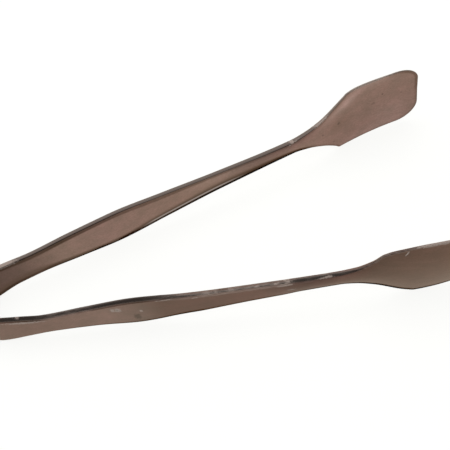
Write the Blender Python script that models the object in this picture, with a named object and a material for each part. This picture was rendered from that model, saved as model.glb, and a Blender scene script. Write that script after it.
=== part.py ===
"""Candy tongs bent from one strip of bronze-toned steel.

The strip is bent round a spring bow. Each of its two arms narrows to a waist behind the bow,
widens to a grip, tapers to a slim rounded neck and flares into a shallow spade-shaped paddle.
The tongs lie on their long edges, as they are laid down between servings: the bow and both
paddles touch the table, and the origin is on the table under the middle of the tongs.

The strip is drawn flat in a plane of its own, with the bow's centre at 0, 0 and +X towards the
paddles, and is then leant over until it rests. "Along" is the distance along the strip's middle
line from the middle of the bow. Lengths are in metres and angles in degrees.
"""

import math

import bmesh
import bpy
import numpy as np
from mathutils import Vector

MM = 0.001

# The bow
BOW_RADIUS = 7.5 * MM
BOW_WIDTH = 16.2 * MM
FLEX_ANGLE = 45.0

# Lengths of the strip's stretches, one after the other
BOW_TO_LEG = 12.6 * MM
LEG_TO_WAIST = 3.8 * MM
WAIST_TO_GRIP = 27.0 * MM
GRIP_TO_NECK = 60.5 * MM
NECK_TO_SHOULDER = 25.2 * MM
SHOULDER_TO_TIP = 18.57 * MM

# Widths of the strip, from edge to edge
WAIST_WIDTH = 12.1 * MM
GRIP_WIDTH = 16.4 * MM
NECK_WIDTH = 7.1 * MM
SHOULDER_WIDTH = 30.6 * MM
TIP_WIDTH = 27.5 * MM
TIP_CORNER_RADIUS = 7.6 * MM

# Thicknesses, the share of them that the edges' rounding takes, and how far the faces swell
# or sink in the middle of the width
STRIP_THICKNESS = 1.45 * MM
PADDLE_THICKNESS = 1.1 * MM
EDGE_ROUNDING_SHARE = 0.7
NECK_SWELL = 0.4 * MM
PADDLE_DISH = 0.8 * MM

# Angles between an arm's middle line and the tongs' middle line
BOW_END_ANGLE = 12.8
LEG_ANGLE = 8.5
GRIP_ANGLE = 9.7
ARM_ANGLE = 7.8
FLARE_ANGLE = 12.7
TIP_ANGLE = -2.0

# Clear gap between neighbouring stretches of the strip
GAP = 0.3 * MM

# Where the neck and the paddle begin, as shares of the tapering and the flaring stretch
NECK_START_SHARE = 0.75
PADDLE_START_SHARE = 0.33

# How finely the strip is drawn
BOW_STEP = 1.0 * MM
ARM_STEP = 4.0 * MM
FLARE_STEP = 2.0 * MM
FACE_POINTS = 8
EDGE_SLANTS = (45.0, 90.0)
CORNER_STEPS = 6
PATH_STEP = 0.05 * MM
SMOOTH_BELOW = 35.0

METAL_COLOUR = (0.248, 0.150, 0.117, 1.0)
METAL_ROUGHNESS = 0.32


def between(low, high, share):
    return low + (high - low) * share


# Places along the strip
BOW_END = BOW_RADIUS * math.radians(90.0 - BOW_END_ANGLE)
LEG_END = BOW_END + BOW_TO_LEG
WAIST = LEG_END + LEG_TO_WAIST
GRIP = WAIST + WAIST_TO_GRIP
NECK = GRIP + GRIP_TO_NECK
SHOULDER = NECK + NECK_TO_SHOULDER
TIP = SHOULDER + SHOULDER_TO_TIP
FLEX = BOW_RADIUS * math.radians(FLEX_ANGLE)
CORNER_RADIUS = min(TIP_CORNER_RADIUS, TIP_WIDTH / 3.0)

# Each list gives a size at places along the strip, and a smooth curve runs through it
WIDTHS = (
    (0.0, BOW_WIDTH),
    (BOW_END, BOW_WIDTH),
    (WAIST, WAIST_WIDTH),
    (between(WAIST, GRIP, 0.5), between(WAIST_WIDTH, GRIP_WIDTH, 0.48)),
    (GRIP, GRIP_WIDTH),
    (between(GRIP, NECK, 0.25), between(GRIP_WIDTH, NECK_WIDTH, 0.32)),
    (between(GRIP, NECK, 0.6), between(GRIP_WIDTH, NECK_WIDTH, 0.7)),
    (NECK, NECK_WIDTH),
    (between(NECK, SHOULDER, 0.33), between(NECK_WIDTH, SHOULDER_WIDTH, 0.23)),
    (between(NECK, SHOULDER, 0.66), between(NECK_WIDTH, SHOULDER_WIDTH, 0.76)),
    (SHOULDER, SHOULDER_WIDTH),
    (between(SHOULDER, TIP, 0.5), between(SHOULDER_WIDTH, TIP_WIDTH, 0.5)),
    (TIP, TIP_WIDTH),
)
ANGLES = (
    (BOW_END, BOW_END_ANGLE),
    (LEG_END, LEG_ANGLE),
    (GRIP, GRIP_ANGLE),
    (between(GRIP, NECK, 0.5), ARM_ANGLE),
    (NECK, ARM_ANGLE),
    (between(NECK, SHOULDER, 0.6), FLARE_ANGLE),
    (TIP, TIP_ANGLE),
)
THICKNESSES = (
    (0.0, STRIP_THICKNESS),
    (NECK, STRIP_THICKNESS),
    (SHOULDER, PADDLE_THICKNESS),
    (TIP, PADDLE_THICKNESS),
)
SWELLS = (
    (0.0, 0.0),
    (between(GRIP, NECK, 0.5), 0.0),
    (NECK, NECK_SWELL),
    (SHOULDER, 0.0),
    (TIP, 0.0),
)
DISHES = (
    (0.0, 0.0),
    (NECK, 0.0),
    (SHOULDER, PADDLE_DISH),
    (TIP, PADDLE_DISH),
)

COLLECTION_NAME = "candy_tongs"


def smooth_through(places, where):
    """The value at each place of where, on a curve through places that never overshoots them."""
    at = np.array([place for place, _ in places])
    value = np.array([size for _, size in places])
    step = np.diff(at)
    slope = np.diff(value) / step
    tangent = np.zeros(len(at))
    for i in range(1, len(at) - 1):
        if slope[i - 1] * slope[i] > 0.0:
            before = 2.0 * step[i] + step[i - 1]
            after = step[i] + 2.0 * step[i - 1]
            tangent[i] = (before + after) / (before / slope[i - 1] + after / slope[i])
    tangent[0] = slope[0]
    tangent[-1] = slope[-1]
    where = np.clip(where, at[0], at[-1])
    span = np.clip(np.searchsorted(at, where, side="right") - 1, 0, len(step) - 1)
    u = (where - at[span]) / step[span]
    rise = u * u * (3.0 - 2.0 * u)
    leave = u * (1.0 - u) ** 2
    arrive = u * u * (u - 1.0)
    return (
        value[span] * (1.0 - rise)
        + value[span + 1] * rise
        + step[span] * (leave * tangent[span] + arrive * tangent[span + 1])
    )


def strip_angles(along):
    """The strip's angle to the middle line of the tongs: round the bow, then down an arm."""
    round_the_bow = math.pi / 2.0 - along / BOW_RADIUS
    down_the_arm = np.radians(smooth_through(ANGLES, along))
    return np.where(along < BOW_END, round_the_bow, down_the_arm)


def draw_middle_line():
    """Points of one arm's middle line, and the strip's angle there, at even steps."""
    along = np.linspace(0.0, TIP, int(round(TIP / PATH_STEP)) + 1)
    angle = strip_angles(along)
    middle = (angle[1:] + angle[:-1]) / 2.0
    step = np.diff(along)
    x = np.concatenate(([0.0], np.cumsum(np.cos(middle) * step))) - BOW_RADIUS
    y = np.concatenate(([0.0], np.cumsum(np.sin(middle) * step)))
    return along, x, y, angle


MIDDLE_LINE = draw_middle_line()


def place_on_strip(along):
    """The middle line's point and the strip's outward direction there. Below 0 is the right arm."""
    grid, xs, ys, angles = MIDDLE_LINE
    distance = abs(along)
    side = -1.0 if along < 0.0 else 1.0
    x = np.interp(distance, grid, xs)
    y = np.interp(distance, grid, ys)
    angle = np.interp(distance, grid, angles)
    return Vector((x, side * y, 0.0)), Vector((-math.sin(angle), side * math.cos(angle), 0.0))


def corner_drop(distance):
    """How much the tip's rounded corners take off each long edge."""
    into_corner = min(max(distance - (TIP - CORNER_RADIUS), 0.0), CORNER_RADIUS)
    return CORNER_RADIUS - math.sqrt(CORNER_RADIUS**2 - into_corner**2)


def section(distance):
    """The strip's cross-section as (outward, up) points: outer face, lower edge, inner, upper."""
    half_thick = float(smooth_through(THICKNESSES, distance)) / 2.0
    swell = float(smooth_through(SWELLS, distance))
    dish = float(smooth_through(DISHES, distance))
    whole_half = float(smooth_through(WIDTHS, distance)) / 2.0
    radius = EDGE_ROUNDING_SHARE * half_thick
    face_half = whole_half - corner_drop(distance) - radius

    def sunk(up):
        return dish * (1.0 - (up / whole_half) ** 2)

    def face(direction):
        for i in range(FACE_POINTS):
            up = direction * face_half * (1.0 - 2.0 * i / (FACE_POINTS - 1))
            bulge = swell * (1.0 - (up / face_half) ** 2)
            yield direction * (half_thick + bulge) + sunk(up), up

    def edge(direction):
        quarter = [math.radians(slant) for slant in EDGE_SLANTS]
        there = [(direction, turn) for turn in quarter]
        back = [(-direction, turn) for turn in reversed(quarter)]
        for face_side, turn in there + back:
            out = face_side * (half_thick - radius + radius * math.cos(turn))
            up = -direction * (face_half + radius * math.sin(turn))
            yield out + sunk(face_half), up

    return [*face(1.0), *edge(1.0), *face(-1.0), *edge(-1.0)]


def even_places(start, end, longest_step):
    steps = max(2, math.ceil((end - start) / longest_step))
    return [start + (end - start) * i / steps for i in range(steps + 1)]


def corner_places():
    """Places through the tip's rounded corners, closer together towards the tip."""
    turns = [math.pi / 2.0 * i / CORNER_STEPS for i in range(CORNER_STEPS + 1)]
    return [TIP - CORNER_RADIUS + CORNER_RADIUS * math.sin(turn) for turn in turns]


def loft(name, places, material, axis_at=None):
    """One stretch of the strip as a closed solid, with its origin at axis_at."""
    origin = place_on_strip(axis_at)[0] if axis_at is not None else Vector()
    mesh_edit = bmesh.new()
    rings = []
    for along in places:
        point, outward = place_on_strip(along)
        ring = []
        for out, up in section(abs(along)):
            corner = point + outward * out + Vector((0.0, 0.0, up))
            ring.append(mesh_edit.verts.new(corner - origin))
        rings.append(ring)
    for ring, following in zip(rings, rings[1:]):
        for i in range(len(ring)):
            after = (i + 1) % len(ring)
            mesh_edit.faces.new((ring[i], ring[after], following[after], following[i]))
    mesh_edit.faces.new(rings[0])
    mesh_edit.faces.new(rings[-1])
    bmesh.ops.recalc_face_normals(mesh_edit, faces=mesh_edit.faces)
    mesh = bpy.data.meshes.new(name)
    mesh_edit.to_mesh(mesh)
    mesh_edit.free()
    mesh.shade_smooth()
    mesh.set_sharp_from_angle(angle=math.radians(SMOOTH_BELOW))
    mesh.materials.append(material)
    piece = bpy.data.objects.new(name, mesh)
    bpy.data.collections[COLLECTION_NAME].objects.link(piece)
    return piece


def satin_metal(name):
    material = bpy.data.materials.new(name)
    material.use_nodes = True
    shader = material.node_tree.nodes["Principled BSDF"]
    shader.inputs["Base Color"].default_value = METAL_COLOUR
    shader.inputs["Metallic"].default_value = 1.0
    shader.inputs["Roughness"].default_value = METAL_ROUGHNESS
    return material


def add_empty(name, parent, location):
    empty = bpy.data.objects.new(name, None)
    empty.empty_display_size = BOW_RADIUS
    empty.location = location
    empty.parent = parent
    bpy.data.collections[COLLECTION_NAME].objects.link(empty)
    return empty


def make_bow(tongs):
    """The middle of the bow, which the two arms flex from."""
    reach = FLEX - GAP / 2.0
    bow = loft("spring_bow", even_places(-reach, reach, BOW_STEP), satin_metal("bow_metal"))
    bow.parent = tongs


def make_arm(side_name, side, tongs):
    """One arm's stretches, all turning about the place where the bow flexes."""
    axis = add_empty(side_name + "_flex_axis", tongs, place_on_strip(side * FLEX)[0])
    clear = GAP / 2.0
    neck_start = between(GRIP, NECK, NECK_START_SHARE)
    paddle_start = between(NECK, SHOULDER, PADDLE_START_SHARE)
    leg = even_places(FLEX + clear, BOW_END, BOW_STEP) + even_places(BOW_END, WAIST - clear, FLARE_STEP)[1:]
    grip = even_places(WAIST + clear, GRIP, ARM_STEP) + even_places(GRIP, neck_start - clear, ARM_STEP)[1:]
    neck = even_places(neck_start + clear, paddle_start - clear, FLARE_STEP)
    blade = even_places(paddle_start + clear, TIP - CORNER_RADIUS, FLARE_STEP) + corner_places()[1:]
    stretches = {"bow_leg": leg, "grip": grip, "neck": neck, "paddle": blade}
    for stretch, places in stretches.items():
        name = side_name + "_" + stretch
        piece = loft(name, [side * place for place in places], satin_metal(name + "_metal"), side * FLEX)
        piece.parent = axis


def lean_until_it_rests(tongs):
    """Tips the tongs until bow and paddles share the table, and centres them over the origin."""
    shoulder_x = place_on_strip(SHOULDER)[0].x
    bow_end_x = -BOW_RADIUS - STRIP_THICKNESS / 2.0
    drop = (SHOULDER_WIDTH - BOW_WIDTH) / 2.0
    tongs.rotation_euler.y = -math.atan2(drop, shoulder_x - bow_end_x)
    bpy.context.view_layer.update()
    corners = []
    for piece in bpy.data.collections[COLLECTION_NAME].objects:
        if piece.type == "MESH":
            corners.extend(piece.matrix_world @ vertex.co for vertex in piece.data.vertices)
    low = [min(corner[i] for corner in corners) for i in range(3)]
    high = [max(corner[i] for corner in corners) for i in range(3)]
    tongs.location = (-(low[0] + high[0]) / 2.0, -(low[1] + high[1]) / 2.0, -low[2])
    bpy.context.view_layer.update()


def clear_scene():
    for item in list(bpy.data.objects):
        bpy.data.objects.remove(item, do_unlink=True)


def make_tongs():
    clear_scene()
    collection = bpy.data.collections.new(COLLECTION_NAME)
    bpy.context.scene.collection.children.link(collection)
    tongs = add_empty("tongs", None, (0.0, 0.0, 0.0))
    make_bow(tongs)
    make_arm("left", 1.0, tongs)
    make_arm("right", -1.0, tongs)
    lean_until_it_rests(tongs)


make_tongs()
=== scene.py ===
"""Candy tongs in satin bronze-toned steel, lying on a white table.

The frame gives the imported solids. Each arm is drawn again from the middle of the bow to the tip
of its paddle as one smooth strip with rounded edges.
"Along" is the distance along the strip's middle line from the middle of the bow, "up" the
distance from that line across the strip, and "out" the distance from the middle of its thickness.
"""

import math

import bmesh
import bpy
import numpy as np
from mathutils import Matrix, Vector


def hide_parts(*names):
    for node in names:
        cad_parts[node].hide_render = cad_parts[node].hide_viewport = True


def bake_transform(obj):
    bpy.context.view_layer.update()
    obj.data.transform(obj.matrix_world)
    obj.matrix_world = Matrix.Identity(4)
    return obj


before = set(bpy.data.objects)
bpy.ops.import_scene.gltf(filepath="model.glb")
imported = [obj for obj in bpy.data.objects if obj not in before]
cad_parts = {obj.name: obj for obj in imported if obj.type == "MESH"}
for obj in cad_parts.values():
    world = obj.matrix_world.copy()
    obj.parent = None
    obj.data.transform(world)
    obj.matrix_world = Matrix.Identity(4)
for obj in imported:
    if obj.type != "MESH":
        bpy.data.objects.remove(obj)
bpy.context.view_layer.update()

MM = 0.001

# Which side of the middle plane each arm is on, along the frame's Y
SIDES = {"left": 1.0, "right": -1.0}

# The strip's own sizes, the same as the solids'
BOW_RADIUS = 7.5 * MM
BOW_TO_LEG = 12.6 * MM
LEG_TO_WAIST = 3.8 * MM
WAIST_TO_GRIP = 27.0 * MM
GRIP_TO_NECK = 60.5 * MM
NECK_TO_SHOULDER = 25.2 * MM
SHOULDER_TO_TIP = 18.57 * MM
CORNER_RADIUS = 7.6 * MM
STRIP_THICKNESS = 1.45 * MM
PADDLE_THICKNESS = 1.1 * MM
NECK_SWELL = 0.4 * MM
PADDLE_DISH = 0.8 * MM
BOW_END_ANGLE = 12.8
LEG_ANGLE = 8.5
GRIP_ANGLE = 9.7
ARM_ANGLE = 7.8
FLARE_ANGLE = 12.7
TIP_ANGLE = -2.0

# Where the bow's centre is along the frame's X
BOW_CENTRE = -67.891 * MM

# The camera, in the space that the strip is drawn in before it is leant over
CAMERA_PLACE = Vector((78.74, -131.71, 270.04)) * MM
CAMERA_FORWARD = Vector((-0.01664, 0.44794, -0.89391))
CAMERA_RIGHT = Vector((0.95529, -0.25683, -0.14648))
CAMERA_LENS = 79.23
CAMERA_SENSOR_WIDTH = 36.0
CAMERA_NEAREST = 10.0 * MM

# How finely each arm is drawn
ALONG_STEP = 0.27 * MM
FACE_STEPS = 40
EDGE_STEPS = 9
TIP_STEPS = 16
PATH_STEP = 0.05 * MM
EDGE_POINTS = 400
SAME_PLACE = 0.0005 * MM
SHARP_ANGLE = 50.0

# How many times the strip is tipped onto the three places it rests on, until it lies still
SETTLING_ROUNDS = 8


def linear(hex_colour):
    """The linear colour of an sRGB hex value."""
    shares = [int(hex_colour[i : i + 2], 16) / 255.0 for i in (1, 3, 5)]
    return [s / 12.92 if s <= 0.04045 else ((s + 0.055) / 1.055) ** 2.4 for s in shares] + [1.0]


def between(low, high, share):
    """The value that is that share of the way from low to high."""
    return low + (high - low) * share


BOW_END = BOW_RADIUS * math.radians(90.0 - BOW_END_ANGLE)
LEG_END = BOW_END + BOW_TO_LEG
WAIST = LEG_END + LEG_TO_WAIST
GRIP = WAIST + WAIST_TO_GRIP
NECK = GRIP + GRIP_TO_NECK
SHOULDER = NECK + NECK_TO_SHOULDER
TIP = SHOULDER + SHOULDER_TO_TIP

# The distance of each arm's edges from the middle of the strip, in millimetres, at the places that
# edge_places gives: the tongs were bent and ground by hand, and no two edges are quite alike
EDGES = {
    ("left", "upper"): (
        8.1, 8.4, 7.7, 7.0, 7.8, 8.0, 6.2, 4.1, 2.3, 3.3, 5.5, 12.4, 13.7, 14.5, 13.7, 14.0
    ),
    ("left", "lower"): (
        8.1, 7.7, 6.1, 5.9, 7.3, 8.6, 6.9, 4.8, 4.0, 5.3, 8.3, 12.6, 13.1, 14.3, 14.1, 13.9
    ),
    ("right", "upper"): (
        8.1, 8.1, 6.9, 5.3, 6.9, 8.5, 6.7, 5.1, 3.9, 4.8, 8.3, 12.3, 14.0, 15.4, 14.6, 13.9
    ),
    ("right", "lower"): (
        8.1, 8.6, 7.2, 6.5, 7.1, 8.9, 6.4, 4.4, 3.5, 4.5, 7.0, 14.6, 15.8, 15.3, 14.3, 14.0
    ),
}
# Where each edge turns from the neck's flare into the paddle's side, and how short the turn is
SHOULDERS = {
    ("left", "upper"): (134.0 * MM, 1.5 * MM),
    ("left", "lower"): (129.0 * MM, 0.4 * MM),
    ("right", "upper"): (131.0 * MM, 3.6 * MM),
    ("right", "lower"): (136.5 * MM, 2.6 * MM),
}
# The even line and section that both arms start from, as places along the strip and the value
# there: the line's angle in degrees, the thickness, how far the neck swells, and the paddle's dish
ANGLES = (
    (BOW_END, BOW_END_ANGLE),
    (LEG_END, LEG_ANGLE),
    (GRIP, GRIP_ANGLE),
    (between(GRIP, NECK, 0.5), ARM_ANGLE),
    (NECK, ARM_ANGLE),
    (between(NECK, SHOULDER, 0.6), FLARE_ANGLE),
    (TIP, TIP_ANGLE),
)
THICKNESSES = (
    (0.0, STRIP_THICKNESS),
    (NECK, STRIP_THICKNESS),
    (SHOULDER, PADDLE_THICKNESS),
    (TIP, PADDLE_THICKNESS),
)
SWELLS = (
    (0.0, 0.0),
    (between(GRIP, NECK, 0.5), 0.0),
    (NECK, NECK_SWELL),
    (SHOULDER, 0.0),
    (TIP, 0.0),
)
DISHES = (
    (0.0, 0.0),
    (NECK, 0.0),
    (SHOULDER, PADDLE_DISH),
    (TIP, PADDLE_DISH),
)
# How each arm's line strays from the even one, in degrees
TURN_PLACES = (0.0, LEG_END, GRIP, NECK, SHOULDER, TIP)
TURN_STRAYS = {
    "left": (0.0, 0.4, -0.59, 0.98, -0.91, 1.24),
    "right": (0.0, 0.33, 0.56, 0.37, -2.39, -0.1),
}
# The edges are rounded unevenly: the inner face's rounding goes this deep into the thickness, and
# the outer face's takes the rest of it. Each reaches this far across its face.
INNER_DEPTHS = {
    "left": (
        (0.0, 0.4 * MM),
        (12.0 * MM, 0.2 * MM),
        (50.0 * MM, 0.2 * MM),
        (70.0 * MM, 0.1 * MM),
        (NECK, 0.1 * MM),
        (SHOULDER, 0.06 * MM),
    ),
    "right": (
        (0.0, 0.4 * MM),
        (12.0 * MM, 0.15 * MM),
        (62.0 * MM, 0.15 * MM),
        (74.0 * MM, 1.3 * MM),
        (97.0 * MM, 1.3 * MM),
        (103.0 * MM, 0.6 * MM),
        (114.0 * MM, 0.6 * MM),
        (124.0 * MM, 1.0 * MM),
        (SHOULDER, 1.05 * MM),
    ),
}
INNER_REACHES = {
    "left": (
        (0.0, 0.7 * MM),
        (12.0 * MM, 0.9 * MM),
        (50.0 * MM, 0.9 * MM),
        (70.0 * MM, 0.4 * MM),
        (SHOULDER, 0.3 * MM),
    ),
    "right": ((0.0, 0.7 * MM), (12.0 * MM, 0.4 * MM), (NECK, 0.4 * MM), (126.0 * MM, 1.3 * MM)),
}
OUTER_REACHES = {
    "left": ((0.0, 1.1 * MM), (12.0 * MM, 0.3 * MM), (NECK, 0.4 * MM), (SHOULDER, 2.0 * MM)),
    "right": (
        (0.0, 1.1 * MM),
        (12.0 * MM, 1.3 * MM),
        (62.0 * MM, 1.2 * MM),
        (74.0 * MM, 0.3 * MM),
        (97.0 * MM, 0.3 * MM),
        (103.0 * MM, 0.9 * MM),
        (114.0 * MM, 0.9 * MM),
        (124.0 * MM, 0.2 * MM),
        (SHOULDER, 0.07 * MM),
    ),
}
TIP_ROUNDING = 2.0 * MM
# Dark lines of painted shade along the edges, where the rounded edges would mirror the dim room
# above and the shadowed table below: the place along the strip, how far in from the edge the line
# reaches there, and how strong it is
PAINTED_EDGE_SHADE = {
    ("left", "upper"): (
        (0.0, 2.4 * MM, 0.5),
        (26.0 * MM, 2.4 * MM, 0.55),
        (36.0 * MM, 2.3 * MM, 0.7),
        (52.0 * MM, 2.0 * MM, 0.6),
        (65.0 * MM, 2.2 * MM, 0.45),
        (85.0 * MM, 1.3 * MM, 0.4),
        (NECK, 1.0 * MM, 0.3),
        (124.0 * MM, 1.1 * MM, 0.2),
        (147.0 * MM, 1.0 * MM, 0.0),
        (154.0 * MM, 1.2 * MM, 0.35),
    ),
    ("left", "lower"): (
        (0.0, 5.8 * MM, 0.6),
        (24.0 * MM, 5.5 * MM, 0.55),
        (34.0 * MM, 3.2 * MM, 0.8),
        (50.0 * MM, 2.8 * MM, 0.9),
        (66.0 * MM, 4.2 * MM, 0.9),
        (88.0 * MM, 4.8 * MM, 1.0),
        (108.0 * MM, 3.9 * MM, 1.0),
        (116.0 * MM, 2.6 * MM, 0.9),
        (124.0 * MM, 1.2 * MM, 0.3),
        (TIP, 1.2 * MM, 0.35),
    ),
    ("right", "upper"): (
        (0.0, 1.0 * MM, 0.0),
        (12.0 * MM, 1.2 * MM, 0.4),
        (17.0 * MM, 1.4 * MM, 0.6),
        (23.0 * MM, 2.0 * MM, 0.75),
        (29.0 * MM, 0.9 * MM, 0.25),
        (37.0 * MM, 0.9 * MM, 0.25),
        (44.0 * MM, 1.5 * MM, 0.5),
        (56.0 * MM, 1.6 * MM, 0.5),
        (62.0 * MM, 1.0 * MM, 0.3),
        (74.0 * MM, 1.0 * MM, 0.0),
    ),
    ("right", "lower"): (
        (0.0, 1.0 * MM, 0.2),
        (25.0 * MM, 1.6 * MM, 0.5),
        (45.0 * MM, 2.2 * MM, 0.8),
        (66.0 * MM, 2.4 * MM, 1.0),
        (76.0 * MM, 1.8 * MM, 0.55),
        (98.0 * MM, 1.6 * MM, 0.5),
        (108.0 * MM, 2.2 * MM, 1.0),
        (122.0 * MM, 2.0 * MM, 1.0),
        (TIP, 1.4 * MM, 0.5),
    ),
}
# How bright the painted highlight line is that runs in the painted shade of the left arm's lower
# edge
HIGHLIGHT_LINE = ((0.0, 0.0), (60.0 * MM, 0.0), (66.0 * MM, 0.9), (88.0 * MM, 0.9), (98.0 * MM, 0.0))
# How far each arm's upper edge is worn to the steel along the strip, and how much of the outer
# face's rounding the wear takes up
WORN_EDGES = {
    "left": ((0.0, 1.0), (TIP, 1.0)),
    "right": (
        (0.0, 1.0),
        (114.0 * MM, 1.0),
        (121.0 * MM, 0.4),
        (133.0 * MM, 0.4),
        (138.0 * MM, 1.0),
    ),
}
WORN_SHARES = {"left": 1.0, "right": 0.6}
# How scuffed the right arm is along its upper edge, as rows of the place along the strip, how far
# in from the edge it reaches there, and how strong it is
SCUFFED = (
    (0.0, 1.6 * MM, 0.0),
    (23.0 * MM, 1.6 * MM, 0.0),
    (28.0 * MM, 1.6 * MM, 0.3),
    (39.0 * MM, 1.6 * MM, 0.25),
    (44.0 * MM, 1.6 * MM, 0.0),
    (56.0 * MM, 1.6 * MM, 0.0),
    (61.0 * MM, 1.6 * MM, 0.2),
    (70.0 * MM, 2.2 * MM, 0.4),
    (98.0 * MM, 2.2 * MM, 0.45),
    (103.0 * MM, 1.6 * MM, 0.15),
    (120.0 * MM, 0.6 * MM, 0.15),
    (134.0 * MM, 0.6 * MM, 0.4),
    (140.0 * MM, 1.0 * MM, 0.5),
)
# Soft patches of painted highlight and painted shade: the arm, the place along and up, the length
# and height in millimetres, how far it is turned in degrees, and how much paler it is. The first
# ones are the painted highlight of the ridge that runs from the left arm's neck to its paddle's
# shoulder, and the painted shade of the hollow beside it.
SHADES = (
    ("left", 134.4, 9.3, 9.0, 4.4, 45.0, 0.55),
    ("left", 129.5, 6.3, 10.0, 3.0, 33.0, 0.28),
    ("left", 143.0, 12.6, 11.0, 4.0, 0.0, 0.28),
    ("left", 130.0, 10.6, 6.0, 2.6, 35.0, -0.2),
    ("left", 131.0, -1.0, 9.0, 7.0, 20.0, -0.14),
    ("left", 141.0, -14.0, 24.0, 6.0, 0.0, 0.3),
    ("left", 149.0, -8.0, 15.0, 12.0, 0.0, 0.2),
    ("left", 100.0, -1.5, 22.0, 3.0, 0.0, -0.12),
    ("left", 89.0, 2.6, 20.0, 5.0, 0.0, 0.22),
    ("right", 141.0, -9.0, 26.0, 10.0, 0.0, -0.1),
    ("right", 126.0, 6.0, 14.0, 9.0, 10.0, -0.08),
    ("right", 133.0, 4.0, 12.0, 1.0, -18.0, 0.16),
    ("right", 136.0, 7.0, 12.0, 1.0, -18.0, 0.14),
    ("right", 116.5, 2.8, 13.0, 4.5, 0.0, 0.25),
    ("right", 129.0, 1.0, 12.0, 5.0, 0.0, -0.15),
    ("right", 146.0, 13.0, 16.0, 5.0, 0.0, 0.2),
)
# Where the looks along the edges fade, as shares of how far in from the edge each one reaches. The
# lower edges' painted shade turns fainter on its way in, and the painted highlight line starts and
# ends in it.
UPPER_EDGE_SHADE_FADES = 0.65
LOWER_EDGE_SHADE_FADES = 0.5
EDGE_SHADE_TURNS_FAINT = (0.25, 0.45)
HIGHLIGHT_LINE_STARTS = (0.27, 0.36)
HIGHLIGHT_LINE_ENDS = (0.43, 0.53)
WORN_EDGE_FADES = 0.5
SCUFFED_FADES = 0.6
# How much of the upper edge is worn on the inner face
INNER_WEAR = 0.03 * MM


def smooth_through(places, where):
    """The value at each place of where, on a curve through places that never overshoots them."""
    at = np.array([place for place, _ in places])
    value = np.array([size for _, size in places])
    step = np.diff(at)
    slope = np.diff(value) / step
    tangent = np.zeros(len(at))
    for i in range(1, len(at) - 1):
        if slope[i - 1] * slope[i] > 0.0:
            before = 2.0 * step[i] + step[i - 1]
            after = step[i] + 2.0 * step[i - 1]
            tangent[i] = (before + after) / (before / slope[i - 1] + after / slope[i])
    tangent[0] = slope[0]
    tangent[-1] = slope[-1]
    where = np.clip(where, at[0], at[-1])
    span = np.clip(np.searchsorted(at, where, side="right") - 1, 0, len(step) - 1)
    u = (where - at[span]) / step[span]
    rise = u * u * (3.0 - 2.0 * u)
    leave = u * (1.0 - u) ** 2
    arrive = u * u * (u - 1.0)
    return (
        value[span] * (1.0 - rise)
        + value[span + 1] * rise
        + step[span] * (leave * tangent[span] + arrive * tangent[span + 1])
    )


def draw_middle_line(arm):
    """Points of one arm's middle line, and the strip's angle there, at even steps."""
    along = np.linspace(0.0, TIP, int(round(TIP / PATH_STEP)) + 1)
    round_the_bow = math.pi / 2.0 - along / BOW_RADIUS
    down_the_arm = np.radians(smooth_through(ANGLES, along))
    stray = smooth_through(list(zip(TURN_PLACES, TURN_STRAYS[arm])), along)
    angle = np.where(along < BOW_END, round_the_bow, down_the_arm) + np.radians(stray)
    middle = (angle[1:] + angle[:-1]) / 2.0
    step = np.diff(along)
    x = np.concatenate(([0.0], np.cumsum(np.cos(middle) * step))) - BOW_RADIUS
    y = np.concatenate(([0.0], np.cumsum(np.sin(middle) * step)))
    return along, x, y, angle


def stations():
    """Distances along the strip at which it is drawn, closer together over the tip's rounding."""
    start = TIP - TIP_ROUNDING
    even = np.linspace(0.0, start, int(start / ALONG_STEP) + 1)
    turns = np.linspace(0.0, math.pi / 2.0, TIP_STEPS + 1)[1:]
    return np.concatenate((even, start + TIP_ROUNDING * np.sin(turns)))


def ring_shape():
    """One turn round the strip's section: which face, and the place across it from -1 to 1,
    and how far into an edge's rounding as a turn from 0 at the very edge to 90 degrees."""
    quarter = np.linspace(0.0, math.pi / 2.0, EDGE_STEPS + 1)
    flat = np.linspace(1.0, -1.0, FACE_STEPS + 1)
    ring = []
    for face in (1.0, -1.0):
        ring.extend((face, face, turn) for turn in quarter[:-1])
        ring.extend((face, face * place, math.pi / 2.0) for place in flat)
        ring.extend((face, -face, turn) for turn in quarter[::-1][1:])
    return np.array(ring)


def edge_places(shoulder, bend):
    """Where along the strip an edge's distances from the middle are given."""
    bow_and_arm = [0.0, BOW_END, 19.0 * MM, WAIST, 40.0 * MM, GRIP, 70.0 * MM, 90.0 * MM, NECK]
    flare = [119.0 * MM, 124.0 * MM, shoulder - bend, shoulder, shoulder + 2.5 * bend]
    return bow_and_arm + flare + [150.0 * MM, TIP]


def half_width(arm, edge, along):
    """How far the upper or the lower edge is from the middle line at each place along it."""
    sizes = [size * MM for size in EDGES[arm, edge]]
    return smooth_through(list(zip(edge_places(*SHOULDERS[arm, edge]), sizes)), along)


def half_width_towards(arm, upper, along):
    """The same for the upper edge where upper is true, and for the lower edge elsewhere."""
    return np.where(upper, half_width(arm, "upper", along), half_width(arm, "lower", along))


def edge_lean(arm, upper, along):
    """The cosine of the angle between the edge and the middle line at each place."""
    before = along - MM / 10.0
    after = along + MM / 10.0
    spread = half_width_towards(arm, upper, after) - half_width_towards(arm, upper, before)
    return 1.0 / np.sqrt(1.0 + (spread / (after - before)) ** 2)


def depth_in_outline(to_side, to_tip):
    """How far inside the strip's outline a place is, with the rounded corners of the tip."""
    corner = CORNER_RADIUS - np.hypot(CORNER_RADIUS - to_side, CORNER_RADIUS - to_tip)
    in_corner = (to_side < CORNER_RADIUS) & (to_tip < CORNER_RADIUS)
    return np.clip(np.where(in_corner, corner, np.minimum(to_side, to_tip)), 0.0, None)


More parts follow.
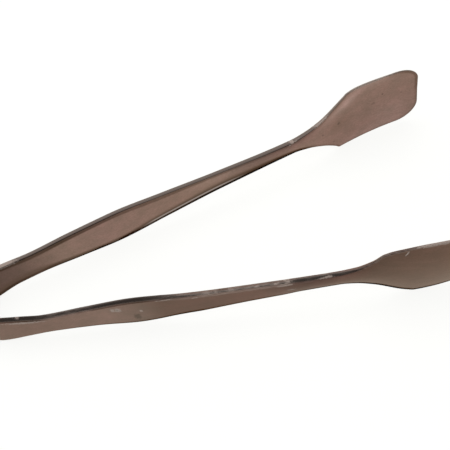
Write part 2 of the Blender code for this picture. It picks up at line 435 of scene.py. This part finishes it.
def place_across(arm, along, upper, reach, place, turn):
    """How far each place of the skin is from the middle line, how far the edge is there, with and
    without the tip's rounded corner, and how far the place is inside the strip's outline."""
    whole_half = half_width_towards(arm, upper, along)
    lean = edge_lean(arm, upper, along)
    to_tip = TIP - along
    into_corner = np.clip(CORNER_RADIUS - to_tip, 0.0, CORNER_RADIUS)
    drop = CORNER_RADIUS - np.sqrt(CORNER_RADIUS**2 - into_corner**2)
    edge = whole_half - drop / lean
    inset = reach / lean
    on_edge = edge - inset * (1.0 - np.cos(turn))
    on_face = np.abs(place) * (edge - inset)
    across = np.where(turn < math.pi / 2.0, on_edge, on_face)
    return across, edge, whole_half, depth_in_outline((whole_half - across) * lean, to_tip)


def bend_strip(arm, side, along, out):
    """Where a place of the strip comes to lie once it is bent, as x and y."""
    grid, xs, ys, angles = MIDDLE_LINES[arm]
    angle = np.interp(along, grid, angles)
    x = np.interp(along, grid, xs) - np.sin(angle) * out
    y = side * (np.interp(along, grid, ys) + np.cos(angle) * out)
    return x, y


def place_strip(arm, side, along, face, place, turn):
    """Where the strip's skin is, as (x, y, z) before it is leant over, the same place on the
    strip before it was bent, as (along, up, out), and the distance from the strip's outline."""
    outer = face > 0.0
    upper = place > 0.0
    half_thick = smooth_through(THICKNESSES, along) / 2.0
    inner_depth = smooth_through(INNER_DEPTHS[arm], along)
    depth = np.where(outer, 2.0 * half_thick - inner_depth, inner_depth)
    inner_reach = smooth_through(INNER_REACHES[arm], along)
    reach = np.where(outer, smooth_through(OUTER_REACHES[arm], along), inner_reach)
    across, edge, whole_half, rim = place_across(arm, along, upper, reach, place, turn)
    into_edge = np.clip(1.0 - rim / reach, 0.0, 1.0)
    skin = half_thick - depth + depth * np.sqrt(1.0 - into_edge**2)
    swell = smooth_through(SWELLS, along) * (1.0 - (across / edge) ** 2)
    dish = smooth_through(DISHES, along) * (1.0 - (across / whole_half) ** 2)
    out = face * (skin + swell)
    up = np.where(upper, across, -across)
    x, y = bend_strip(arm, side, along, out + dish)
    return np.stack((x, y, up), axis=-1), np.stack((side * along, up, out), axis=-1), rim


MIDDLE_LINES = {arm: draw_middle_line(arm) for arm in SIDES}


def lower_edge(arm, start, end):
    """Points of the arm's lower edge, before the strip is leant over."""
    along = np.linspace(start, end, EDGE_POINTS)
    outer_face = np.ones(EDGE_POINTS)
    very_edge = np.zeros(EDGE_POINTS)
    places, _, _ = place_strip(arm, SIDES[arm], along, outer_face, -outer_face, very_edge)
    return [Vector(place) for place in places]


def lie_on_table():
    """How the strip, drawn standing on its edge, is turned to rest on its bow and both paddles."""
    bow = lower_edge("left", 0.0, WAIST) + lower_edge("right", 0.0, WAIST)
    edges = (bow, lower_edge("left", NECK, TIP), lower_edge("right", NECK, TIP))
    turned = Matrix.Identity(3)
    for _ in range(SETTLING_ROUNDS):
        feet = [min((turned @ spot for spot in edge), key=lambda spot: spot.z) for edge in edges]
        square = (feet[2] - feet[0]).cross(feet[1] - feet[0])
        turned = square.rotation_difference(Vector((0.0, 0.0, 1.0))).to_matrix() @ turned
    return Matrix.Translation((BOW_CENTRE, 0.0, -feet[0].z)) @ turned.to_4x4()


LEANT_OVER = lie_on_table()


def soft_step(low, high, value):
    """0 below low, 1 above high, and a smooth rise between them."""
    share = np.clip((value - low) / (high - low), 0.0, 1.0)
    return share * share * (3.0 - 2.0 * share)


def shades_at(arm, along, up):
    """How much paler the soft patches of painted highlight and shade make the strip at each place.
    """
    paler = np.zeros(len(along))
    for marked_arm, place, height, long, high, turn, strength in SHADES:
        if marked_arm == arm:
            ahead = along - place * MM
            above = up - height * MM
            angle = math.radians(turn)
            lengthwise = (ahead * math.cos(angle) + above * math.sin(angle)) / (long / 2.0 * MM)
            crosswise = (above * math.cos(angle) - ahead * math.sin(angle)) / (high / 2.0 * MM)
            paler += strength * np.exp(-(lengthwise**2) - crosswise**2)
    return paler


def reach_and_strength(rows, along):
    """The second and third values of the rows, at each place along the strip."""
    reaches = [(place, reach) for place, reach, _ in rows]
    strengths = [(place, strength) for place, _, strength in rows]
    return np.array([smooth_through(reaches, along), smooth_through(strengths, along)])


def edge_shade_looks(arm, along, on_upper, rim):
    """How strong the painted shade along the edges is, how far it has turned to its fainter colour,
    and how bright the painted highlight line in it is."""
    upper = reach_and_strength(PAINTED_EDGE_SHADE[arm, "upper"], along)
    lower = reach_and_strength(PAINTED_EDGE_SHADE[arm, "lower"], along)
    reach, strength = np.where(on_upper, upper, lower)
    depth = rim / reach
    fades = np.where(on_upper, UPPER_EDGE_SHADE_FADES, LOWER_EDGE_SHADE_FADES)
    line = soft_step(*HIGHLIGHT_LINE_STARTS, depth) * (1.0 - soft_step(*HIGHLIGHT_LINE_ENDS, depth))
    return {
        "edge_shade": strength * (1.0 - soft_step(fades, 1.0, depth)),
        "faint_shade": soft_step(*EDGE_SHADE_TURNS_FAINT, depth) * ~on_upper,
        "highlight_line": line * smooth_through(HIGHLIGHT_LINE, along) * ~on_upper * (arm == "left"),
    }


def wear_looks(arm, along, on_outer, on_upper, rim):
    """How far the upper edge is worn to the steel, and how scuffed the right arm is beside it."""
    reach = smooth_through(OUTER_REACHES[arm], along) * WORN_SHARES[arm]
    outer_wear = 1.0 - soft_step(WORN_EDGE_FADES * reach, reach, rim)
    wear = np.where(on_outer, outer_wear, rim < INNER_WEAR)
    reach, strength = reach_and_strength(SCUFFED, along)
    scuffed = strength * (1.0 - soft_step(SCUFFED_FADES * reach, reach, rim))
    return {
        "worn_edge": np.where(on_upper, wear * smooth_through(WORN_EDGES[arm], along), 0.0),
        "scuffed": scuffed * on_upper * (arm == "right"),
    }


def skin_looks(arm, along, face, flat, rim):
    """How the skin looks at each place, by name, for the metal's material to read."""
    up = flat[:, 1]
    return {
        **edge_shade_looks(arm, along, up > 0.0, rim),
        **wear_looks(arm, along, face > 0.0, up > 0.0, rim),
        "shade": shades_at(arm, along, up),
    }


def keep_looks(edit, flat, looks):
    """Keeps each place's looks, and where it was before the strip was bent, on the mesh."""
    flat_layer = edit.verts.layers.float_vector.new("flat_strip")
    for vertex, unbent in zip(edit.verts, flat):
        vertex[flat_layer] = Vector(unbent)
    for name, values in looks.items():
        layer = edit.verts.layers.float.new(name)
        for vertex, value in zip(edit.verts, values):
            vertex[layer] = value


def make_half(arm, side):
    """Half of the strip, from the middle of the bow to a paddle's tip, rolled from a flat grid."""
    stops = stations()
    ring = ring_shape()
    rows = len(stops) - 1
    columns = len(ring)
    edit = bmesh.new()
    bmesh.ops.create_grid(edit, x_segments=rows, y_segments=columns, size=1.0)
    corners = np.array([vertex.co for vertex in edit.verts])
    row = np.rint((corners[:, 0] + 1.0) / 2.0 * rows).astype(int)
    column = np.rint((corners[:, 1] + 1.0) / 2.0 * columns).astype(int) % columns
    along = stops[row]
    face, place, turn = ring[column].T
    skin, flat, rim = place_strip(arm, side, along, face, place, turn)
    keep_looks(edit, flat, skin_looks(arm, along, face, flat, rim))
    for vertex, where in zip(edit.verts, skin):
        vertex.co = LEANT_OVER @ Vector(where)
    bmesh.ops.remove_doubles(edit, verts=edit.verts, dist=SAME_PLACE)
    bmesh.ops.holes_fill(edit, edges=[e for e in edit.edges if e.is_boundary], sides=0)
    bmesh.ops.recalc_face_normals(edit, faces=edit.faces)
    mesh = bpy.data.meshes.new(arm + "_half_strip")
    edit.to_mesh(mesh)
    edit.free()
    mesh.shade_smooth()
    mesh.set_sharp_from_angle(angle=math.radians(SHARP_ANGLE))
    piece = bpy.data.objects.new(arm + "_half_strip", mesh)
    bpy.context.scene.collection.objects.link(piece)
    return piece


def node(tree, kind, settings=None, values=None, stops=()):
    """Adds a node, with its settings, and its inputs' values or the outputs they come from.
    A ramp's stops are each a place from 0 to 1 and a colour."""
    added = tree.nodes.new(kind)
    for name, value in (settings or {}).items():
        setattr(added, name, value)
    for name, value in (values or {}).items():
        if isinstance(value, bpy.types.NodeSocket):
            tree.links.new(value, added.inputs[name])
        else:
            added.inputs[name].default_value = value
    for number, (place, colour) in enumerate(stops):
        ramp = added.color_ramp.elements
        stop = ramp[number] if number < len(ramp) else ramp.new(1.0)
        stop.position = place
        stop.color = linear(colour)
    return added


# Tones of the coating along each arm, as the distance from the bow in millimetres and the colour:
# it is darkest inside the bow, where that is painted shade, and darker and browner on the outer
# faces than on the inner ones
INNER_TONES = (
    (0.0, "#4a3734"),
    (20.0, "#614d48"),
    (36.0, "#8b746b"),
    (50.0, "#90756e"),
    (85.0, "#8c7469"),
    (100.0, "#7e6861"),
    (118.0, "#8c7069"),
    (157.0, "#8a7068"),
)
OUTER_TONES = (
    (0.0, "#5f453f"),
    (45.0, "#78605a"),
    (55.0, "#64514b"),
    (62.0, "#51352d"),
    (90.0, "#5c3e38"),
    (104.0, "#4f3935"),
    (114.0, "#5c443d"),
    (125.0, "#574139"),
    (157.0, "#61483d"),
)
# Small light and dark marks, which go through to both faces: the arm, the place along and up, the
# length and height in millimetres, how far it is turned in degrees, and its strength. The light
# ones are scuff marks and painted highlights along the edges.
SCUFFS_AND_HIGHLIGHTS = (
    ("right", 47.3, 4.0, 1.5, 2.8, 0.0, 0.9),
    ("right", 48.8, 3.7, 2.2, 3.4, 0.0, 0.9),
    ("right", 55.2, 0.9, 1.2, 1.7, 10.0, 0.8),
    ("right", 20.4, -5.9, 0.9, 0.5, 0.0, 0.6),
    ("right", 63.2, 6.5, 6.0, 0.6, -3.0, 0.8),
    ("right", 72.2, 5.0, 3.2, 0.9, 0.0, 0.65),
    ("right", 77.0, 5.7, 6.0, 0.8, 0.0, 0.5),
    ("right", 98.5, 4.3, 4.4, 0.4, 0.0, 0.9),
    ("right", 98.6, 3.2, 5.0, 0.9, 0.0, 0.85),
    ("right", 110.4, 3.64, 6.0, 0.5, 0.0, 1.0),
    ("right", 133.9, 12.9, 2.8, 0.6, 66.0, 1.0),
    ("right", 19.3, 6.9, 2.0, 0.6, 0.0, 0.7),
    ("right", 76.0, 6.2, 3.6, 0.5, 0.0, 0.5),
    ("right", 83.0, 5.6, 2.6, 0.5, 0.0, 0.5),
    ("right", 90.5, 5.2, 2.8, 0.5, 0.0, 0.6),
    ("right", 96.5, 4.8, 2.8, 0.5, 0.0, 0.8),
    ("right", 100.0, 4.6, 2.6, 0.5, 0.0, 0.8),
    ("right", 99.9, -0.3, 3.4, 0.8, 0.0, 0.5),
    ("left", 18.5, 7.5, 9.5, 1.2, -5.0, 0.85),
    ("right", 142.5, 15.2, 22.0, 1.5, -3.0, 0.75),
    ("right", 20.5, 4.5, 13.0, 1.7, -11.0, 0.7),
    ("left", 115.6, 2.8, 6.0, 0.8, 16.0, 1.0),
    ("left", 141.0, 13.8, 11.0, 0.6, 0.0, 0.6),
    ("left", 141.5, 14.1, 17.0, 1.6, -3.0, 0.5),
    ("left", 124.6, 6.0, 6.5, 0.7, 34.0, 0.9),
)
# The dark ones are small knocks, and longer lines of painted shade along the lower edges
DARK_SPOTS = (
    ("right", 48.6, 3.6, 0.9, 1.3, 0.0, 0.3),
    ("right", 53.3, -3.2, 2.5, 5.0, 0.0, 1.0),
    ("right", 137.0, -15.2, 7.0, 1.4, 0.0, 0.7),
    ("left", 30.5, -4.4, 8.0, 1.2, -5.0, 0.3),
    ("left", 46.6, -7.3, 7.5, 1.7, -5.0, 0.85),
    ("left", 55.7, -7.4, 9.5, 1.7, 5.0, 0.85),
    ("left", 146.2, 3.8, 0.9, 0.7, 0.0, 0.7),
    ("left", 124.5, -2.0, 1.1, 0.9, 0.0, 0.5),
    ("left", 130.5, -0.8, 1.3, 1.6, 20.0, 0.45),
    ("left", 143.0, 0.5, 1.6, 1.2, 0.0, 0.3),
    ("left", 152.5, 1.0, 0.8, 0.8, 0.0, 0.35),
    ("left", 128.2, -9.4, 0.9, 0.6, 0.0, 0.5),
)
# Real sizes that the patterns' scales come from. Real brush lines are near 0.05 mm wide, too fine
# to show at this distance, so they are drawn coarser.
CLOUD_SIZE = 4.8 * MM
STAIN_SIZE = 0.7 * MM
BRUSH_LINE_WIDTH = 0.4 * MM
BRUSH_LINE_LENGTH = 16.0 * MM
BRUSH_LINE_DEPTH = 0.02 * MM
SCUFF_WIDTH = 0.6 * MM
SCUFF_LENGTH = 3.5 * MM
# How many times finer detail is added to the patterns, and how strong it is in the clouds
CLOUD_DETAIL = 5.0
CLOUD_ROUGHNESS = 0.62
FINE_DETAIL = 3.0
# What the tone is multiplied by: cloudy patches go from greener and darker to redder and lighter,
# and fine pits and stains from darker to plain
CLOUD_TINTS = ((0.32, "#e2e3dc"), (0.7, "#fff8f5"))
STAIN_TINTS = ((0.32, "#e6e2de"), (0.7, "#ffffff"))
STAIN_STRENGTH = 0.8
# How much red, green and blue a soft patch of painted light adds: a painted highlight is cooler
# too, and painted shade warmer
SHADE_TINT = (1.0, 1.2, 1.45)
# Colours of the painted shade and painted highlights on the coating, of what else lies over it, and
# of the steel that shows through it
EDGE_SHADE_COLOUR = "#40372f"
FAINT_EDGE_SHADE_COLOUR = "#6b5c52"
HIGHLIGHT_LINE_COLOUR = "#b4a8a2"
BARE_STEEL_COLOUR = "#82756e"
SCUFF_AND_HIGHLIGHT_COLOUR = "#a4958c"
SPOT_COLOUR = "#35261f"
# At a low angle the coating shines warm, and along the edges that shine is dimmed almost away, as
# painted shade
COATING_SHEEN = "#fff3e7"
EDGE_SHADE_SHEEN = "#4c4c4c"
# The smoothest and the roughest brush lines, how strongly they catch the light, and what a scuff,
# which scatters the light, does to the metal
SATIN_ROUGHNESS = (0.24, 0.36)
BRUSH_STRENGTH = 0.12
SCUFF_ROUGHNESS = 0.6
SCUFF_METALLIC = 0.3
# Where a small mark starts to fade and where it ends, as shares of its size, and how ragged its
# edge is
MARK_FADES = (0.5, 1.1)
MARK_RAGGEDNESS = 0.9
# The values of the streaks' pattern between which the scuffs beside the edge fade in
STREAKS_FADE = (0.25, 0.75)
# How far to each side of the middle of the thickness the two faces' tones blend
FACE_BLEND = 0.3 * MM

# In a Mix node of colours, input 0 is the share, 6 and 7 are the colours, and output 2 is the mix
MIXED = {"data_type": "RGBA"}
TINTED = {"data_type": "RGBA", "blend_type": "MULTIPLY"}
SMOOTH = {"interpolation_type": "SMOOTHSTEP"}


def marks_mask(tree, strip, ragged, marks):
    """One where any of the marks lies, and zero elsewhere, with ragged edges."""
    covered = 0.0
    for arm, along, up, long, high, turn, strength in marks:
        side = SIDES[arm]
        spot = {
            "Vector": strip,
            "Location": (side * along * MM, up * MM, 0.0),
            "Rotation": (0.0, 0.0, side * math.radians(turn)),
            "Scale": (long / 2.0 * MM, high / 2.0 * MM, 1.0),
        }
        inside = node(tree, "ShaderNodeMapping", {"vector_type": "TEXTURE"}, spot)
        away = node(tree, "ShaderNodeVectorMath", {"operation": "LENGTH"}, {0: inside.outputs[0]})
        unevenly = {0: away.outputs["Value"], 1: ragged}
        rough = node(tree, "ShaderNodeMath", {"operation": "ADD"}, unevenly)
        fade = {
            "Value": rough.outputs[0],
            "From Min": MARK_FADES[0],
            "From Max": MARK_FADES[1],
            "To Min": strength,
            "To Max": 0.0,
        }
        mark = node(tree, "ShaderNodeMapRange", SMOOTH, fade)
        both = {0: covered, 1: mark.outputs[0]}
        covered = node(tree, "ShaderNodeMath", {"operation": "MAXIMUM"}, both).outputs[0]
    return covered


def tone_along_strip(tree, strip):
    """The coating's tone, which changes along the arm and from the inner to the outer face, with
    painted shade inside the bow.
    """
    split = node(tree, "ShaderNodeSeparateXYZ", {}, {0: strip})
    along = node(tree, "ShaderNodeMath", {"operation": "ABSOLUTE"}, {0: split.outputs["X"]})
    share = node(tree, "ShaderNodeMath", {"operation": "DIVIDE"}, {0: along.outputs[0], 1: TIP})
    tones = []
    for face_tones in (INNER_TONES, OUTER_TONES):
        stops = [(place * MM / TIP, colour) for place, colour in face_tones]
        tones.append(node(tree, "ShaderNodeValToRGB", {}, {"Fac": share.outputs[0]}, stops))
    # One on the outer face and zero on the inner face
    out = {"Value": split.outputs["Z"], "From Min": -FACE_BLEND, "From Max": FACE_BLEND}
    outer = node(tree, "ShaderNodeMapRange", {}, out)
    faces = {0: outer.outputs[0], 6: tones[0].outputs[0], 7: tones[1].outputs[0]}
    return node(tree, "ShaderNodeMix", MIXED, faces).outputs[2]


def coating_tone(tree, strip, grain, shade):
    """The coating's colour, with its cloudy patches and fine stains, and soft patches of painted
    highlight and shade.
    """
    pattern = {"Vector": strip, "Scale": 1.0 / CLOUD_SIZE, "Detail": CLOUD_DETAIL}
    pattern["Roughness"] = CLOUD_ROUGHNESS
    clouds = node(tree, "ShaderNodeTexNoise", {}, pattern)
    tint = node(tree, "ShaderNodeValToRGB", {}, {"Fac": clouds.outputs["Fac"]}, CLOUD_TINTS)
    cloudy = {0: 1.0, 6: tone_along_strip(tree, strip), 7: tint.outputs[0]}
    tone = node(tree, "ShaderNodeMix", TINTED, cloudy)
    tint = node(tree, "ShaderNodeValToRGB", {}, {"Fac": grain}, STAIN_TINTS)
    stained = {0: STAIN_STRENGTH, 6: tone.outputs[2], 7: tint.outputs[0]}
    tone = node(tree, "ShaderNodeMix", TINTED, stained)
    one_plus_shade = {0: shade, 1: SHADE_TINT, 2: (1.0, 1.0, 1.0)}
    paler = node(tree, "ShaderNodeVectorMath", {"operation": "MULTIPLY_ADD"}, one_plus_shade)
    patched = {0: tone.outputs[2], 1: paler.outputs[0]}
    return node(tree, "ShaderNodeVectorMath", {"operation": "MULTIPLY"}, patched).outputs[0]


def light_marks_and_spots(tree, strip, grain, scuffed):
    """Where the scuff marks and painted highlights lie, and where the dark spots do."""
    uneven = {"Value": grain, "To Min": -MARK_RAGGEDNESS, "To Max": MARK_RAGGEDNESS}
    ragged = node(tree, "ShaderNodeMapRange", {}, uneven).outputs[0]
    stretch = (1.0 / SCUFF_LENGTH, 1.0 / SCUFF_WIDTH, 1.0 / SCUFF_WIDTH)
    drawn_out = node(tree, "ShaderNodeMapping", {}, {"Vector": strip, "Scale": stretch})
    pattern = {"Vector": drawn_out.outputs[0], "Scale": 1.0, "Detail": FINE_DETAIL}
    streaks = node(tree, "ShaderNodeTexNoise", {}, pattern).outputs["Fac"]
    patchy = {"Value": streaks, "From Min": STREAKS_FADE[0], "From Max": STREAKS_FADE[1]}
    patchy = node(tree, "ShaderNodeMapRange", SMOOTH, patchy)
    streaked = {0: patchy.outputs[0], 1: scuffed}
    beside_edge = node(tree, "ShaderNodeMath", {"operation": "MULTIPLY"}, streaked)
    both = {0: marks_mask(tree, strip, ragged, SCUFFS_AND_HIGHLIGHTS), 1: beside_edge.outputs[0]}
    scuffs_and_highlights = node(tree, "ShaderNodeMath", {"operation": "MAXIMUM"}, both)
    return scuffs_and_highlights.outputs[0], marks_mask(tree, strip, ragged, DARK_SPOTS)


def brushed_finish(tree, strip, scuffs_and_highlights):
    """The shader's inputs for brush lines that run along the strip, and for the scuff marks and
    painted highlights, which it makes rough and matt.
    """
    stretch = (1.0 / BRUSH_LINE_LENGTH, 1.0 / BRUSH_LINE_WIDTH, 1.0 / BRUSH_LINE_WIDTH)
    lengthwise = node(tree, "ShaderNodeMapping", {}, {"Vector": strip, "Scale": stretch})
    pattern = {"Vector": lengthwise.outputs[0], "Scale": 1.0, "Detail": FINE_DETAIL}
    lines = node(tree, "ShaderNodeTexNoise", {}, pattern).outputs["Fac"]
    satin = {"Value": lines, "To Min": SATIN_ROUGHNESS[0], "To Max": SATIN_ROUGHNESS[1]}
    satin = node(tree, "ShaderNodeMapRange", {}, satin)
    rough = node(tree, "ShaderNodeMix", {}, {0: scuffs_and_highlights, 2: satin.outputs[0], 3: SCUFF_ROUGHNESS})
    less_in_scuffs = {"Value": scuffs_and_highlights, "To Min": 1.0, "To Max": SCUFF_METALLIC}
    metallic = node(tree, "ShaderNodeMapRange", {}, less_in_scuffs)
    grooves = {"Height": lines, "Strength": BRUSH_STRENGTH, "Distance": BRUSH_LINE_DEPTH}
    bump = node(tree, "ShaderNodeBump", {}, grooves)
    return {
        "Roughness": rough.outputs[0],
        "Metallic": metallic.outputs[0],
        "Normal": bump.outputs[0],
    }


def satin_bronze_steel():
    """Stainless steel with a thin bronze-brown coating, brushed lengthwise: warm and satin."""
    material = bpy.data.materials.new("satin_bronze_coated_steel")
    material.use_nodes = True
    tree = material.node_tree
    tree.nodes.clear()
    # Where on the strip a place was before the strip was bent, and how it looks there
    strip = node(tree, "ShaderNodeAttribute", {"attribute_name": "flat_strip"}).outputs["Vector"]
    names = ("edge_shade", "faint_shade", "highlight_line", "worn_edge", "scuffed", "shade")
    edge_shade, faint_shade, highlight_line, worn_edge, scuffed, shade = (
        node(tree, "ShaderNodeAttribute", {"attribute_name": name}).outputs["Fac"] for name in names
    )
    pattern = {"Vector": strip, "Scale": 1.0 / STAIN_SIZE, "Detail": FINE_DETAIL}
    grain = node(tree, "ShaderNodeTexNoise", {}, pattern).outputs["Fac"]
    scuffs_and_highlights, spots = light_marks_and_spots(tree, strip, grain, scuffed)
    dark = {0: faint_shade, 6: linear(EDGE_SHADE_COLOUR), 7: linear(FAINT_EDGE_SHADE_COLOUR)}
    dark = node(tree, "ShaderNodeMix", MIXED, dark).outputs[2]
    # Along the edges the shine at a low angle is dimmed as painted shade
    sheen = {0: edge_shade, 6: linear(COATING_SHEEN), 7: linear(EDGE_SHADE_SHEEN)}
    sheen = node(tree, "ShaderNodeMix", MIXED, sheen).outputs[2]
    tone = coating_tone(tree, strip, grain, shade)
    # Over the coating's tone go the painted shade along the edges, the painted highlight line, the
    # bare steel of the worn edges, the scuff marks and painted highlights, and the dark spots
    layers = (
        (edge_shade, dark),
        (highlight_line, linear(HIGHLIGHT_LINE_COLOUR)),
        (worn_edge, linear(BARE_STEEL_COLOUR)),
        (scuffs_and_highlights, linear(SCUFF_AND_HIGHLIGHT_COLOUR)),
        (spots, linear(SPOT_COLOUR)),
    )
    for share, colour in layers:
        tone = node(tree, "ShaderNodeMix", MIXED, {0: share, 6: tone, 7: colour}).outputs[2]
    skin = {"Base Color": tone, "Specular Tint": sheen, **brushed_finish(tree, strip, scuffs_and_highlights)}
    shader = node(tree, "ShaderNodeBsdfPrincipled", {}, skin)
    node(tree, "ShaderNodeOutputMaterial", {}, {"Surface": shader.outputs[0]})
    return material


# The table top, the white of it that the camera and reflections see, how strong that is, and how
# much of what they see it makes up
TABLE_RADIUS = 4.0
TABLE_SIDES = 64
TABLE_COLOUR = "#f4f4f2"
TABLE_WHITE = "#fffffd"
TABLE_WHITE_STRENGTH = 1.03
TABLE_WHITE_SHARE = 0.85
# The studio's light comes from low at the back and the left. It is dim above and behind the
# camera, and full where a direction faces that way by this much or more.
LIGHT_FROM = (-0.35, 0.94, 0.0)
DIM_LIGHT = 0.13
FULL_LIGHT = 0.85
FULL_LIGHT_FACING = 0.75
SOFTBOX_PLACE = (0.0, 0.1, 1.3)
SOFTBOX_SIZE = 1.6
SOFTBOX_POWER = 18.0


def white_table():
    """A matt white table top that reads white in the picture and keeps the tongs' shadow."""
    material = bpy.data.materials.new("white_table")
    material.use_nodes = True
    tree = material.node_tree
    tree.nodes.clear()
    matt = node(tree, "ShaderNodeBsdfDiffuse", {}, {"Color": linear(TABLE_COLOUR)})
    white = {"Color": linear(TABLE_WHITE), "Strength": TABLE_WHITE_STRENGTH}
    glow = node(tree, "ShaderNodeEmission", {}, white)
    path = node(tree, "ShaderNodeLightPath")
    rays = {0: path.outputs["Is Camera Ray"], 1: path.outputs["Is Glossy Ray"]}
    straight = node(tree, "ShaderNodeMath", {"operation": "MAXIMUM"}, rays)
    seen = {0: straight.outputs[0], 1: TABLE_WHITE_SHARE}
    seen = node(tree, "ShaderNodeMath", {"operation": "MULTIPLY"}, seen)
    top = {0: seen.outputs[0], 1: matt.outputs[0], 2: glow.outputs[0]}
    top = node(tree, "ShaderNodeMixShader", {}, top)
    node(tree, "ShaderNodeOutputMaterial", {}, {"Surface": top.outputs[0]})
    return material


def make_table():
    """The wide round table top that the tongs lie on."""
    edit = bmesh.new()
    bmesh.ops.create_circle(edit, cap_ends=True, segments=TABLE_SIDES, radius=TABLE_RADIUS)
    mesh = bpy.data.meshes.new("table")
    edit.to_mesh(mesh)
    edit.free()
    mesh.materials.append(white_table())
    table = bpy.data.objects.new("table", mesh)
    bpy.context.scene.collection.objects.link(table)


def make_camera():
    """The camera at the photograph's viewing angle, above the tongs and in front of them."""
    camera = bpy.data.objects.new("camera", bpy.data.cameras.new("camera"))
    bpy.context.scene.collection.objects.link(camera)
    camera.data.lens = CAMERA_LENS
    camera.data.sensor_width = CAMERA_SENSOR_WIDTH
    camera.data.clip_start = CAMERA_NEAREST
    forward = CAMERA_FORWARD.normalized()
    right = (CAMERA_RIGHT - forward * CAMERA_RIGHT.dot(forward)).normalized()
    up = right.cross(forward)
    turned = Matrix((right, up, -forward)).transposed().to_4x4()
    camera.matrix_world = LEANT_OVER @ Matrix.Translation(CAMERA_PLACE) @ turned
    bpy.context.scene.camera = camera


def add_softbox():
    """A round softbox overhead, which the metal doesn't mirror."""
    lamp = bpy.data.lights.new("overhead_softbox", "AREA")
    lamp.shape = "DISK"
    lamp.size = SOFTBOX_SIZE
    lamp.energy = SOFTBOX_POWER
    holder = bpy.data.objects.new("overhead_softbox", lamp)
    bpy.context.scene.collection.objects.link(holder)
    holder.visible_glossy = False
    holder.location = SOFTBOX_PLACE
    holder.rotation_euler = Vector(SOFTBOX_PLACE).to_track_quat("Z", "Y").to_euler()


def make_room():
    """A studio that is dim where the camera stands, and lighter behind the tongs."""
    world = bpy.data.worlds.new("studio")
    bpy.context.scene.world = world
    world.use_nodes = True
    tree = world.node_tree
    tree.nodes.clear()
    direction = node(tree, "ShaderNodeTexCoord")
    facing = {0: direction.outputs["Generated"], 1: LIGHT_FROM}
    facing = node(tree, "ShaderNodeVectorMath", {"operation": "DOT_PRODUCT"}, facing)
    dim_to_full = {
        "Value": facing.outputs["Value"],
        "From Min": 0.0,
        "From Max": FULL_LIGHT_FACING,
        "To Min": DIM_LIGHT,
        "To Max": FULL_LIGHT,
    }
    strength = node(tree, "ShaderNodeMapRange", SMOOTH, dim_to_full)
    # The camera itself sees plain white
    path = node(tree, "ShaderNodeLightPath")
    white_behind = {0: strength.outputs[0], 1: path.outputs["Is Camera Ray"]}
    strength = node(tree, "ShaderNodeMath", {"operation": "MAXIMUM"}, white_behind)
    white = {"Color": linear("#ffffff"), "Strength": strength.outputs[0]}
    light = node(tree, "ShaderNodeBackground", {}, white)
    node(tree, "ShaderNodeOutputWorld", {}, {"Surface": light.outputs[0]})
    add_softbox()


metal = satin_bronze_steel()
for arm, side in SIDES.items():
    half = make_half(arm, side)
    half.data.materials.append(metal)
    stretches = [arm + stretch for stretch in ("_bow_leg", "_grip", "_neck", "_paddle")]
    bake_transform(half)
    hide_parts("spring_bow", *stretches)

make_table()
make_room()
make_camera()
bpy.context.scene.view_settings.view_transform = "Standard"
